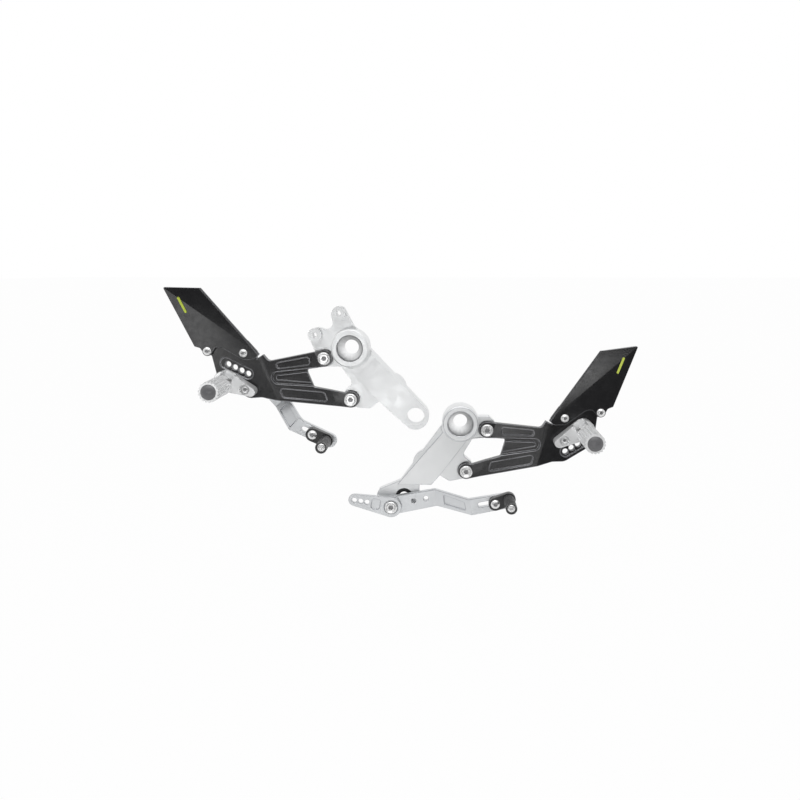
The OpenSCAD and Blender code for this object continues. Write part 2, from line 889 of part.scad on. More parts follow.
module toe_link() {
  color(black)
    difference() {
      tapered_bar([0, 0], link_r, [link_len, 0], link_r, 0, link_t);
      post([0, 0], small_screw_d / 2 + close_gap, -past, far);
      post([link_len, 0], small_screw_d / 2 + close_gap, -past, far);
    }
}

module toe_link_screw(lever_thickness) {
  color(bright)
    translate([0, 0, link_t])
      screw(small_screw_d, link_t + lever_thickness + 5.4, 11.6, small_head_h);
}

module toe_link_nut(lever_thickness) {
  color(bright)
    translate([0, 0, -lever_thickness - 5])
      hexagon_nut(small_screw_d, 10, 5);
}

module toe_peg() {
  ribs = 8;
  rib_start = 2.5;
  rib_pitch = (toe_len - 2 * rib_start) / ribs;
  color(black)
    translate([link_len, 0, link_t])
      difference() {
        rotate_extrude()
          difference() {
            square([toe_d / 2, toe_len]);
            for (i = [0:ribs - 1])
              translate([toe_d / 2 - 1.1, rib_start + (i + 0.3) * rib_pitch])
                square([2, rib_pitch * 0.4]);
          }
        post([0, 0], small_screw_d / 2 + close_gap, -past, far);
        post([0, 0], toe_d / 2 - 0.7, toe_len - 2, far);
      }
}

module toe_peg_screw() {
  color(bright)
    translate([link_len, 0, link_t + toe_len - 2])
      screw(small_screw_d, link_t + toe_len - 3, toe_d - 1.6, 2.6);
}

// Brake pedal, behind the peg plate and then outward to the toe

module pedal_outline() {
  half = 8.4;
  across = tuck * turned_left(heading(pedal_toe_way));
  top = pedal_end - half * across;
  foot = pedal_end + half * across;
  rounded_outline([[97, -38.8, 0], [68.1, -81, 12], [top[0], top[1], 0], [foot[0], foot[1], 0],
    [86.2, -90.6, 2], [117.4, -44.2, 0], [113, -34, 0]]);
  translate(pedal_end)
    circle(half);
}

module pedal_layer(low, high) {
  stepped_layer(pedal_crease_lean, pedal_crease_near, pedal_crease_far, low, high, pedal_step);
}

module brake_pedal() {
  pushrod_hole = pedal_pivot + pushrod_arm * heading(55);
  color(silver)
    difference() {
      union() {
        intersection() {
          slab_between(0, 3 * hub_depth)
            pedal_outline();
          pedal_layer(pedal_back, pedal_front);
        }
        post(pedal_pivot, pedal_hub_r, pedal_back, pedal_front + 3);
        post(pedal_pivot, bush_r + 2.4, pedal_back, pedal_hub_front);
        tapered_bar(pedal_pivot, pedal_hub_r, pushrod_hole, 6.8, pedal_back, pedal_front);
      }
      intersection() {
        slab_between(0, 3 * hub_depth)
          rounded_outline([[75.8, -78.6, 2], [85.6, -87.2, 2], [98.6, -67.4, 2], [88.4, -59.4, 2]]);
        pedal_layer(pedal_front - 2, far);
      }
      post(pedal_pivot, bush_r + close_gap, 0, far);
      post(pushrod_hole, pushrod_hole_d / 2, 0, far);
      tapered_bar(pedal_screw + 11 * heading(pedal_toe_way), slot_w / 2,
        pedal_screw - 13 * heading(pedal_toe_way), slot_w / 2, 0, far);
    }
}

module brake_pedal_bush() {
  color(bronze)
    translate(with_z(pedal_pivot, pedal_back))
      difference() {
        cylinder(r = bush_r, h = pedal_hub_front - pedal_back);
        translate([0, 0, -past])
          cylinder(r = pivot_r + close_gap, h = far);
      }
}

module brake_pedal_bolt() {
  head_z = pedal_back - running_gap;
  color(bright)
    translate(with_z(pedal_pivot, head_z)) {
      rotate([180, 0, 0])
        screw_head(plate_bolt_head_d + 2, plate_bolt_head_h - 0.3);
      cylinder(r = pivot_r, h = peg_back - head_z);
      cylinder(r = pivot_r - 1, h = peg_face - 2.5 - head_z);
    }
}

// Gear lever, in front of the frame plate's foot

module gear_lever_outline() {
  half = 9.6;
  across = tuck * turned_left(heading(lever_toe_way));
  top = lever_end + half * across;
  foot = lever_end - half * across;
  rounded_outline([[-86, -122.5, 0], [-29.3, -109.6, 4], [16, -115.9, 3], [foot[0], foot[1], 0],
    [top[0], top[1], 0], [11.2, -95.3, 3], [-31.3, -87.7, 3], [-90.6, -99, 0]]);
  translate(lever_end)
    circle(half);
  translate(lever_pivot)
    circle(12);
}

module lever_layer(low, high) {
  stepped_layer(lever_crease_lean, lever_crease_near, lever_crease_far, low, high, lever_step);
}

function dowel_place() = lever_pivot + 10.2 * heading(200);

module gear_lever() {
  color(silver)
    difference() {
      intersection() {
        slab_between(0, 3 * hub_depth)
          gear_lever_outline();
        lever_layer(lever_back, lever_front);
      }
      intersection() {
        slab_between(0, 3 * hub_depth)
          rounded_outline([[-19.6, -105.6, 1.5], [8.4, -110.6, 1.5], [6, -99.8, 1.5], [-20.8, -93.4, 1.5]]);
        lever_layer(lever_front - 2, far);
      }
      post(lever_pivot, bush_r + close_gap, 0, far);
      post([-59.1, -103.2], 3, 0, far);
      post([-43.1, -99.8], 3.3, 0, far);
      post(dowel_place(), 2 + close_gap, 0, far);
      tapered_bar(lever_screw - 18.5 * heading(lever_toe_way), slot_w / 2,
        lever_screw + 8 * heading(lever_toe_way), slot_w / 2, 0, far);
    }
}

module shift_arm() {
  rod_way = heading(171.7);
  first_rod = lever_pivot + 32.1 * rod_way + [0.8, 1.6];
  end = first_rod + 2 * rod_pitch * rod_way;
  color(silver)
    difference() {
      tapered_bar(end, 7.8, lever_pivot, shift_arm_r, lever_front, shift_arm_front);
      for (i = [0:2])
        post(first_rod + i * rod_pitch * rod_way, rod_hole_d / 2, 0, far);
      translate(with_z([-108, -107], shift_arm_front - head_recess))
        rotate([0, 0, -8.3])
          linear_extrude(height = far)
            rounded_outline([[-5.7, -7, 3.5], [5.7, -7, 3.5], [5.7, 7, 3.5], [-5.7, 7, 3.5]]);
      post(lever_pivot, bush_r + close_gap, 0, far);
      post(lever_pivot, plate_bolt_head_d / 2 + 1, shift_arm_front - head_recess, far);
      post(dowel_place(), 2 + close_gap, 0, lever_front + 3);
    }
}

module shift_arm_dowel() {
  color(bright)
    translate(with_z(dowel_place(), lever_back))
      cylinder(r = 2, h = lever_t + 2.8);
}

module gear_lever_bush() {
  color(bronze)
    translate(with_z(lever_pivot, lever_back))
      difference() {
        cylinder(r = bush_r, h = shift_arm_front - head_recess - lever_back);
        translate([0, 0, -past])
          cylinder(r = pivot_r + close_gap, h = far);
      }
}

module gear_lever_bolt() {
  head_z = shift_arm_front - head_recess + running_gap;
  color(bright)
    translate(with_z(lever_pivot, head_z)) {
      dished_head(plate_bolt_head_d, plate_bolt_head_h);
      translate([0, 0, foot_boss_t - head_z])
        cylinder(r = pivot_r, h = head_z - foot_boss_t + 0.5);
      translate([0, 0, 0.5 - head_z])
        cylinder(r = pivot_r - 1, h = head_z);
    }
}

// Placing of the two sides

module on_brake_side() {
  rotate([0, -brake_roll, 0])
    rotate([90, 0, 0])
      mirror([1, 0, 0])
        children();
}

module on_shift_side() {
  translate([side_spacing, side_setback, -side_drop])
    rotate([90, 0, 0])
      children();
}

// The brake side's block is on the lower row and the shift side's on the upper row.
module on_brake_row() {
  on_brake_side()
    on_row(lower_row)
      children();
}

module on_shift_row() {
  on_shift_side()
    on_row(upper_row)
      children();
}

module at_brake_toe() {
  on_brake_side()
    at_toe(pedal_screw, pedal_toe_front, pedal_link_angle)
      children();
}

module at_shift_toe() {
  on_shift_side()
    at_toe(lever_screw, lever_toe_front, lever_link_angle)
      children();
}

on_brake_side() brake_frame_plate();
on_brake_side() brake_peg_plate();
on_brake_side() plate_bolts();  // brake_plate_bolts
on_brake_side() heel_guard();  // brake_heel_guard
on_brake_side() heel_guard_screws();  // brake_heel_guard_screws
on_brake_row() peg_block();  // brake_peg_block
on_brake_row() peg_block_screws();  // brake_peg_block_screws
on_brake_row() peg_block_nut();  // brake_peg_block_nut
on_brake_row() footpeg();  // brake_footpeg
on_brake_row() peg_end_cap();  // brake_peg_end_cap
on_brake_row() peg_hinge_pin();  // brake_peg_hinge_pin
on_brake_row() peg_spring();  // brake_peg_spring
on_brake_side() brake_pedal();
on_brake_side() brake_pedal_bush();
on_brake_side() brake_pedal_bolt();
at_brake_toe() toe_link();  // brake_toe_link
at_brake_toe() toe_link_screw(pedal_t);  // brake_toe_link_screw
at_brake_toe() toe_link_nut(pedal_t);  // brake_toe_link_nut
at_brake_toe() toe_peg();  // brake_toe_peg
at_brake_toe() toe_peg_screw();  // brake_toe_peg_screw
on_shift_side() shift_frame_plate();
on_shift_side() peg_plate();  // shift_peg_plate
on_shift_side() plate_bolts();  // shift_plate_bolts
on_shift_side() heel_guard();  // shift_heel_guard
on_shift_side() heel_guard_screws();  // shift_heel_guard_screws
on_shift_row() peg_block();  // shift_peg_block
on_shift_row() peg_block_screws();  // shift_peg_block_screws
on_shift_row() peg_block_nut();  // shift_peg_block_nut
on_shift_row() footpeg();  // shift_footpeg
on_shift_row() peg_end_cap();  // shift_peg_end_cap
on_shift_row() peg_hinge_pin();  // shift_peg_hinge_pin
on_shift_row() peg_spring();  // shift_peg_spring
on_shift_side() gear_lever();
on_shift_side() gear_lever_bush();
on_shift_side() gear_lever_bolt();
on_shift_side() shift_arm();
on_shift_side() shift_arm_dowel();
at_shift_toe() toe_link();  // shift_toe_link
at_shift_toe() toe_link_screw(lever_t);  // shift_toe_link_screw
at_shift_toe() toe_link_nut(lever_t);  // shift_toe_link_nut
at_shift_toe() toe_peg();  // shift_toe_peg
at_shift_toe() toe_peg_screw();  // shift_toe_peg_screw
on_shift_side() shift_eye_bush();
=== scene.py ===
import json
import math
import bpy
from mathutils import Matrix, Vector

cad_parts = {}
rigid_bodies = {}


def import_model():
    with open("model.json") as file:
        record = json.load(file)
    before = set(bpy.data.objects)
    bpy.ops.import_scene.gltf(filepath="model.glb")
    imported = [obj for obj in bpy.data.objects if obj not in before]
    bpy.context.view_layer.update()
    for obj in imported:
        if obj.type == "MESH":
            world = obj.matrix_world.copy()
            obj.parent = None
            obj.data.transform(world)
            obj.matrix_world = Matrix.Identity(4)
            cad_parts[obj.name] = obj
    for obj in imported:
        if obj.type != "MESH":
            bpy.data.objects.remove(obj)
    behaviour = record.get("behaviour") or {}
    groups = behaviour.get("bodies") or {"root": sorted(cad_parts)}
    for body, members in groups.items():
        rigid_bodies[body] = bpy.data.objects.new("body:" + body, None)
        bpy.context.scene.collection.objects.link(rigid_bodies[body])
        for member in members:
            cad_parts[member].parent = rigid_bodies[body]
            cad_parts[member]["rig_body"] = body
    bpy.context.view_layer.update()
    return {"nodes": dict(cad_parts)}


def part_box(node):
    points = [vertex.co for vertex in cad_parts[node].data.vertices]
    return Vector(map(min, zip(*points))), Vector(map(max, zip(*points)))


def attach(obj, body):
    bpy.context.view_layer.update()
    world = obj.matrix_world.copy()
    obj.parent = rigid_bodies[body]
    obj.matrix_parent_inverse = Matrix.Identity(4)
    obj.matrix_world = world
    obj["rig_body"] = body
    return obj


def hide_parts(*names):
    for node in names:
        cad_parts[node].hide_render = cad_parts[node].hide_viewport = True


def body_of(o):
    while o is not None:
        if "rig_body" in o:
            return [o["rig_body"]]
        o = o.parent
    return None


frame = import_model()
print("frame loaded:", len(frame["nodes"]), "nodes")

millimetre = 0.001
# where the two sides stand, in metres; a side's own frame is x to the rear, y up, z outward
layout = {"roll": 7.0, "shiftHub": (0.136, 0.030, -0.098)}


def heading(degrees):
    angle = math.radians(degrees)
    return math.cos(angle), math.sin(angle)


def brakePoint(x, y, out):
    c, s = heading(layout["roll"])
    return Vector((-x * c - y * s, -out, -x * s + y * c))


def shiftPoint(x, y, out):
    return Vector(layout["shiftHub"]) + Vector((x, -out, y))


# a socket that can be written in a sum
class Amount:
    def __init__(self, tree, socket):
        self.tree, self.socket = tree, socket

    def combine(self, kind, first, second=None):
        node = self.tree.nodes.new("ShaderNodeMath")
        node.operation = kind
        put(self.tree, node.inputs[0], first)
        if second is not None:
            put(self.tree, node.inputs[1], second)
        return Amount(self.tree, node.outputs[0])

    def through(self, kind):
        return self.combine(kind, self)

    def __add__(self, other): return self.combine("ADD", self, other)
    def __radd__(self, other): return self.combine("ADD", other, self)
    def __sub__(self, other): return self.combine("SUBTRACT", self, other)
    def __rsub__(self, other): return self.combine("SUBTRACT", other, self)
    def __mul__(self, other): return self.combine("MULTIPLY", self, other)
    def __rmul__(self, other): return self.combine("MULTIPLY", other, self)


def put(tree, socket, item):
    if isinstance(item, Amount):
        tree.links.new(item.socket, socket)
    else:
        socket.default_value = item


# one tree of nodes; every node but those of the sums comes from its node method
class Nodes:
    def __init__(self, tree):
        self.tree = tree

    # settings go in first, then the values or links of the sockets, by name or by number
    def node(self, kind, settings=None, sockets=None, out=0):
        made = self.tree.nodes.new(kind)
        for name, value in (settings or {}).items():
            setattr(made, name, value)
        for name, value in (sockets or {}).items():
            put(self.tree, made.inputs[name], value)
        return Amount(self.tree, made.outputs[out])

    def noise(self, where, scale, detail=3.0, rough=0.55):
        return self.node("ShaderNodeTexNoise", None,
                         {"Vector": where, "Scale": scale, "Detail": detail, "Roughness": rough})

    def spread(self, value, low, high, a, b):
        return self.node("ShaderNodeMapRange", None, {0: value, 1: low, 2: high, 3: a, 4: b})

    # noise of one scale whose middle span is stretched from one end to the other
    def patches(self, where, scale, detail, ends=(0, 1), span=(0.3, 0.7)):
        return self.spread(self.noise(where, scale, detail), *span, *ends)

    def parts(self, where):
        split = self.node("ShaderNodeSeparateXYZ", None, {0: where}).socket.node
        return [Amount(self.tree, split.outputs[i]) for i in range(3)]

    def mix(self, factor, a, b):
        a, b = (end if isinstance(end, Amount) else (*end, 1) for end in (a, b))
        return self.node("ShaderNodeMix", {"data_type": "RGBA"}, {0: factor, 6: a, 7: b}, out=2)

    def ray(self, kind):
        return self.node("ShaderNodeLightPath", out="Is " + kind + " Ray")


# one material, round its main shader
class Finish(Nodes):
    def __init__(self, name):
        self.material = bpy.data.materials.new(name)
        self.material.use_nodes = True
        super().__init__(self.material.node_tree)
        self.shader = self.tree.nodes["Principled BSDF"]

    def set(self, **sockets):
        for name, value in sockets.items():
            put(self.tree, self.shader.inputs[name.replace("_", " ")], value)

    def place(self, centre=(0, 0, 0), size=(1, 1, 1)):
        spot = self.node("ShaderNodeTexCoord", out="Object")
        return self.node("ShaderNodeMapping", {"vector_type": "TEXTURE"},
                         {"Vector": spot, "Location": centre, "Scale": size})

    def bump(self, height, distance):
        return self.node("ShaderNodeBump", None, {"Height": height, "Distance": distance})


def shaded(colour, factor):
    return tuple(c * factor for c in colour)


def around(middle, steps):
    return middle + steps[0], middle + steps[1]


# bead-blasted and anodised aluminium; a hub centre adds the turned cone inside the hub, whose
# colour carries painted shade near its top under the rim and a painted highlight towards its
# lower left
satin = {"cloud": 22, "dulled": 0.93, "pebble": 2400, "smear": 110, "sheen": (-0.04, 0.05)}
cone = {"rim": (0.0158, 0.0166), "rings": 3600, "ringSlope": 0.6, "ringDepth": 2.5,
        "ringTone": 0.14, "paintedShadeTone": (0.11, 0.115, 0.12), "paintedLightTone": (0.96, 0.965, 0.97),
        "rough": 0.3, "turn": -0.5}


def satinAluminium(name, look, hub=None):
    f = Finish(name)
    where = f.place()
    cloud = f.patches(where, satin["cloud"], 4)
    tone = f.mix(cloud, shaded(look["colour"], satin["dulled"]), look["colour"])
    height = f.noise(where, satin["pebble"], 2, 0.6)
    rough = f.patches(where, satin["smear"], 4, around(look["rough"], satin["sheen"]))
    metal = look["metal"]
    if hub:
        x, y, z = f.parts(f.place(centre=hub))
        reach = (x * x + z * z).through("SQRT")
        inside = f.spread(reach, *cone["rim"], 1, 0)
        line = f.node("ShaderNodeCombineXYZ", None, {0: reach, 1: y * cone["ringSlope"]})
        rings = f.noise(line, cone["rings"], 3, 0.7)
        # painted shade and highlight: the cone is painted darkest near its top, where the rim
        # shades it, and palest towards its lower left; the rings laid over this are turning
        # marks
        angle = x.combine("ARCTAN2", x, z)
        paintedLightRamp = 0.5 - (angle + cone["turn"]).through("COSINE") * 0.5
        ringsAndPaintedShade = f.spread(rings, 0.3, 0.7, -cone["ringTone"], cone["ringTone"]) + paintedLightRamp
        tone = f.mix(inside, tone, f.mix(ringsAndPaintedShade, cone["paintedShadeTone"], cone["paintedLightTone"]))
        rough = rough + inside * (cone["rough"] - look["rough"])
        metal = look["metal"] + inside * (1 - look["metal"])
        height = height * (1 - inside) + rings * inside * cone["ringDepth"]
    f.set(Base_Color=tone, Roughness=rough, Metallic=metal, Normal=f.bump(height, look["grain"]))
    return f.material


# bright turned or milled metal with fine tool marks round the outward axis
milled = {"marks": 1600, "stretch": (6, 0.1, 6), "stain": 45, "dulled": 0.93,
          "sheen": (-0.05, 0.06)}


def turnedMetal(name, look):
    f = Finish(name)
    marks = f.noise(f.place(size=milled["stretch"]), milled["marks"], 2)
    stain = f.patches(f.place(), milled["stain"], 3)
    f.set(Base_Color=f.mix(stain, shaded(look["colour"], milled["dulled"]), look["colour"]),
          Roughness=f.spread(marks, 0.2, 0.8, *around(look["rough"], milled["sheen"])),
          Metallic=look["metal"], Normal=f.bump(marks, look["grain"]))
    return f.material


# black anodised aluminium: low sheen and a very fine grain, rubbed a little paler in clouds
anodised = {"cloud": 34, "cloudSpan": (0.35, 0.75), "paler": 1.3, "rub": 420,
            "rubSpan": (0.45, 0.8), "grain": 3000, "smear": 140, "sheen": (-0.03, 0.04)}


def blackAnodised(name, look):
    f = Finish(name)
    where = f.place()
    cloud = f.patches(where, anodised["cloud"], 4, span=anodised["cloudSpan"])
    rub = f.spread(f.noise(where, anodised["rub"], 4, 0.7), *anodised["rubSpan"], 0, 1)
    tone = f.mix(cloud, look["colour"], shaded(look["colour"], anodised["paler"]))
    f.set(Base_Color=f.mix(rub * look["wear"], tone, look["worn"]),
          Roughness=f.patches(where, anodised["smear"], 3,
                              around(look["rough"], anodised["sheen"])),
          Normal=f.bump(f.noise(where, anodised["grain"], 2), look["grain"]),
          Specular_IOR_Level=look["gloss"])
    return f.material


# moulded plastic or rubber with a fine pebble
moulded = {"cloud": 90, "paler": 1.25, "pebble": 1500, "depth": 0.00002, "smear": 260,
           "sheen": (-0.05, 0.06)}


def mouldedPlastic(name, look):
    f = Finish(name)
    where = f.place()
    f.set(Base_Color=f.mix(f.noise(where, moulded["cloud"]), look["colour"],
                           shaded(look["colour"], moulded["paler"])),
          Roughness=f.patches(where, moulded["smear"], 3,
                              around(look["rough"], moulded["sheen"])),
          Normal=f.bump(f.noise(where, moulded["pebble"]), moulded["depth"]))
    return f.material


# crossed knurl round a toe peg whose axis runs outward through the centre; its valleys are
# painted darker as shade and its ridges paler as a painted highlight
knurl = {"colour": (0.022, 0.022, 0.023), "rough": 0.3, "roughValley": 0.4, "gloss": 0.7,
         "radius": 0.007, "pitch": 0.0022, "depth": 0.0003, "valleyShade": 0.5, "ridgeHighlight": 2.2}


def knurledBlack(name, centre):
    f = Finish(name)
    x, y, z = f.parts(f.place(centre=centre))
    arc = x.combine("ARCTAN2", x, z) * knurl["radius"]
    turns = 2 * math.pi / knurl["pitch"]
    rising = ((arc + y) * turns).through("SINE")
    falling = ((arc - y) * turns).through("SINE")
    height = (rising * 0.5 + 0.5) * (falling * 0.5 + 0.5)
    # painted shade in the knurl's valleys and a painted highlight on its ridges
    f.set(Base_Color=f.mix(height, shaded(knurl["colour"], knurl["valleyShade"]),
                           shaded(knurl["colour"], knurl["ridgeHighlight"])),
          Roughness=f.spread(height, 0, 1, knurl["roughValley"], knurl["rough"]),
          Normal=f.bump(height, knurl["depth"]), Specular_IOR_Level=knurl["gloss"])
    return f.material


frameLook = {"colour": (0.84, 0.85, 0.855), "rough": 0.33, "metal": 0.6, "grain": 0.000003}
leverLook = {"colour": (0.72, 0.735, 0.75), "rough": 0.32, "metal": 0.6, "grain": 0.000003}
blockLook = {"colour": (0.92, 0.925, 0.93), "rough": 0.22, "metal": 0.4, "grain": 0.000003}
edgeLook = {"colour": (0.88, 0.885, 0.89), "rough": 0.26, "metal": 0.85, "grain": 0.000005}
# painted shade: a darker finish for the broken edges of the frame plates, pedal and lever, for
# the dark lines along them
shadedEdgeLook = {"colour": (0.56, 0.57, 0.59), "rough": 0.3, "metal": 0.9, "grain": 0.000005}
pegLook = {"colour": (0.94, 0.945, 0.95), "rough": 0.22, "metal": 0.15, "grain": 0.000002}
steelLook = {"colour": (0.80, 0.80, 0.80), "rough": 0.22, "metal": 0.8, "grain": 0.000005}
# painted shade: a darker steel for the walls and floor of hex sockets
socketShadeLook = {"colour": (0.30, 0.30, 0.305), "rough": 0.4, "metal": 0.8, "grain": 0.000005}
wireLook = {"colour": (0.46, 0.46, 0.46), "rough": 0.3, "metal": 1.0, "grain": 0.000005}
bronzeLook = {"colour": (0.62, 0.45, 0.24), "rough": 0.34, "metal": 1.0, "grain": 0.000008}
plateLook = {"colour": (0.004, 0.004, 0.005), "rough": 0.22, "gloss": 0.6, "grain": 0.000006,
             "wear": 0.05, "worn": (0.05, 0.05, 0.052)}
# painted highlight: a paler metallic finish for the broken edges of the peg plates and heel
# guards, for the bright lines along their rims
plateEdgeHighlightLook = {"colour": (0.24, 0.24, 0.25), "rough": 0.24, "metal": 0.85, "grain": 0.000002}
guardLook = {"colour": (0.006, 0.006, 0.007), "rough": 0.21, "gloss": 0.6, "grain": 0.000008,
             "wear": 0.05, "worn": (0.05, 0.05, 0.052)}
toeLook = {"colour": (0.014, 0.014, 0.015), "rough": 0.3, "gloss": 0.6, "grain": 0.000008,
           "wear": 0.2, "worn": (0.06, 0.06, 0.062)}
# painted highlight: a paler finish for the broken edges of the toe links and toe pegs; the
# rubbed patches on it are wear
toeEdgeHighlightLook = {"colour": (0.10, 0.10, 0.104), "rough": 0.25, "gloss": 0.9, "grain": 0.000004,
               "wear": 0.5, "worn": (0.2, 0.2, 0.2)}
capLook = {"colour": (0.12, 0.12, 0.125), "rough": 0.3}
bushLook = {"colour": (0.012, 0.012, 0.013), "rough": 0.45}

brakeFrame = satinAluminium("brakeFrame", frameLook, hub=brakePoint(0, 0, 0))
shiftFrame = satinAluminium("shiftFrame", frameLook, hub=shiftPoint(0, 0, 0))
leverSatin = satinAluminium("leverSatin", leverLook)
blockSatin = satinAluminium("blockSatin", blockLook)
edgeBright = turnedMetal("edgeBright", edgeLook)
edgeShadeGrey = turnedMetal("edgeShadeGrey", shadedEdgeLook)
pegBright = turnedMetal("pegBright", pegLook)
steelBright = turnedMetal("steelBright", steelLook)
steelSocketShade = turnedMetal("steelSocketShade", socketShadeLook)
wireSteel = turnedMetal("wireSteel", wireLook)
bronze = turnedMetal("bronze", bronzeLook)
plateBlack = blackAnodised("plateBlack", plateLook)
plateEdgeHighlight = turnedMetal("plateEdgeHighlight", plateEdgeHighlightLook)
guardBlack = blackAnodised("guardBlack", guardLook)
toeBlack = blackAnodised("toeBlack", toeLook)
toeEdgeHighlight = blackAnodised("toeEdgeHighlight", toeEdgeHighlightLook)
capGrey = mouldedPlastic("capGrey", capLook)
bushBlack = mouldedPlastic("bushBlack", bushLook)
toeCentre = tuple((a + b) / 2 for a, b in zip(*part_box("shift_toe_peg")))
toeKnurl = knurledBlack("toeKnurl", toeCentre)
print("finishes made")


def pickOnly(piece):
    bpy.ops.object.select_all(action="DESELECT")
    bpy.context.view_layer.objects.active = piece
    piece.select_set(True)


# a box given by its middle, its heading and its size in a side's own frame, in millimetres
def sideBox(name, toWorld, at, way, size, out):
    bpy.ops.object.select_all(action="DESELECT")
    ahead = heading(way)
    here = toWorld(at[0] * millimetre, at[1] * millimetre, out * millimetre)
    there = toWorld((at[0] + ahead[0]) * millimetre, (at[1] + ahead[1]) * millimetre,
                    out * millimetre)
    run = there - here
    bpy.ops.mesh.primitive_cube_add(size=1, location=here,
                                    rotation=(0, -math.atan2(run.z, run.x), 0))
    box = bpy.context.active_object
    box.name = name
    box.scale = (size[0] * millimetre, size[2] * millimetre, size[1] * millimetre)
    bpy.ops.object.transform_apply(location=True, rotation=True, scale=True)
    return box


# a thin bar lying on a face that looks outward, with its corners rounded
barCorner = {"outward": 0.9, "segments": 5}


def flatBar(name, toWorld, at, way, size, out, rounding, material):
    bar = sideBox(name, toWorld, at, way, size, out)
    for edge in bar.data.edges:
        a, b = (bar.data.vertices[i].co for i in edge.vertices)
        edge.select = abs((a - b).normalized().y) > barCorner["outward"]
    for face in bar.data.polygons:
        face.select = False
    bpy.ops.object.mode_set(mode="EDIT")
    bpy.ops.mesh.select_mode(type="EDGE")
    bpy.ops.mesh.bevel(offset=rounding * millimetre, segments=barCorner["segments"])
    bpy.ops.object.mode_set(mode="OBJECT")
    bar.data.materials.append(material)
    return bar


def cutAway(piece, cutter):
    pickOnly(piece)
    cut = piece.modifiers.new("cut", "BOOLEAN")
    cut.operation, cut.solver, cut.object = "DIFFERENCE", "EXACT", cutter
    bpy.ops.object.modifier_apply(modifier=cut.name)
    pickOnly(cutter)
    bpy.ops.object.delete()
    pickOnly(piece)


# how edges are broken, with angles in degrees; a piece's finishes are body, edge and the painted
# shade inside sockets
edgeWork = {"merge": 0.00004, "flat": 0.4, "corner": 30, "smooth": 32, "segments": 2,
            "wideFace": 0.00004, "crease": 1, "socketShare": 0.45}
bodyFinish, edgeFinish, socketShadeFinish = range(3)


# the loose solids of a mesh, each a set of vertex numbers
def looseSolids(mesh):
    owner = list(range(len(mesh.vertices)))

    def root(i):
        while owner[i] != i:
            owner[i] = owner[owner[i]]
            i = owner[i]
        return i

    for edge in mesh.edges:
        a, b = root(edge.vertices[0]), root(edge.vertices[1])
        owner[a] = b
    solids = {}
    for i in range(len(owner)):
        solids.setdefault(root(i), set()).add(i)
    return list(solids.values())


# the walls and floor of each head's socket lie inside a share of the head's radius and get a
# darker steel, painted shade inside the socket
def paintSocketShade(mesh):
    for solid in looseSolids(mesh):
        spots = [mesh.vertices[i].co for i in solid]
        low = [min(p[k] for p in spots) for k in (0, 2)]
        high = [max(p[k] for p in spots) for k in (0, 2)]
        middle = [(a + b) / 2 for a, b in zip(low, high)]
        limit = edgeWork["socketShare"] * (high[0] - low[0]) / 2

        def isInside(i):
            spot = mesh.vertices[i].co
            return math.hypot(spot.x - middle[0], spot.z - middle[1]) < limit

        for face in mesh.polygons:
            if face.vertices[0] in solid and all(isInside(i) for i in face.vertices):
                face.material_index = socketShadeFinish


# a shallow crease between two wide faces stays crisp
def keepCreases(mesh):
    wide = {}
    for face in mesh.polygons:
        if face.area > edgeWork["wideFace"]:
            for key in face.edge_keys:
                wide.setdefault(key, []).append(face.normal)
    for edge in mesh.edges:
        pair = wide.get(tuple(sorted(edge.vertices)), [])
        if len(pair) == 2 and pair[0].angle(pair[1]) > math.radians(edgeWork["crease"]):
            edge.use_edge_sharp = True


# marks the outer edges that a deburring tool reaches; inner corners stay as milled
def weighOuterEdges(mesh):
    sides = {}
    for face in mesh.polygons:
        corners = list(face.vertices)
        for a, b in zip(corners, corners[1:] + corners[:1]):
            along = mesh.vertices[b].co - mesh.vertices[a].co
            side = face.normal, face.normal.cross(along)
            sides.setdefault((min(a, b), max(a, b)), []).append(side)
    weights = mesh.attributes.new("bevel_weight_edge", "FLOAT", "EDGE")
    corner = math.radians(edgeWork["corner"])
    for edge in mesh.edges:
        pair = sides.get((min(edge.vertices), max(edge.vertices)), [])
        if len(pair) == 2 and pair[0][0].angle(pair[1][0], 0) > corner:
            if pair[1][0].dot(pair[0][1]) < 0:
                weights.data[edge.index].value = 1.0


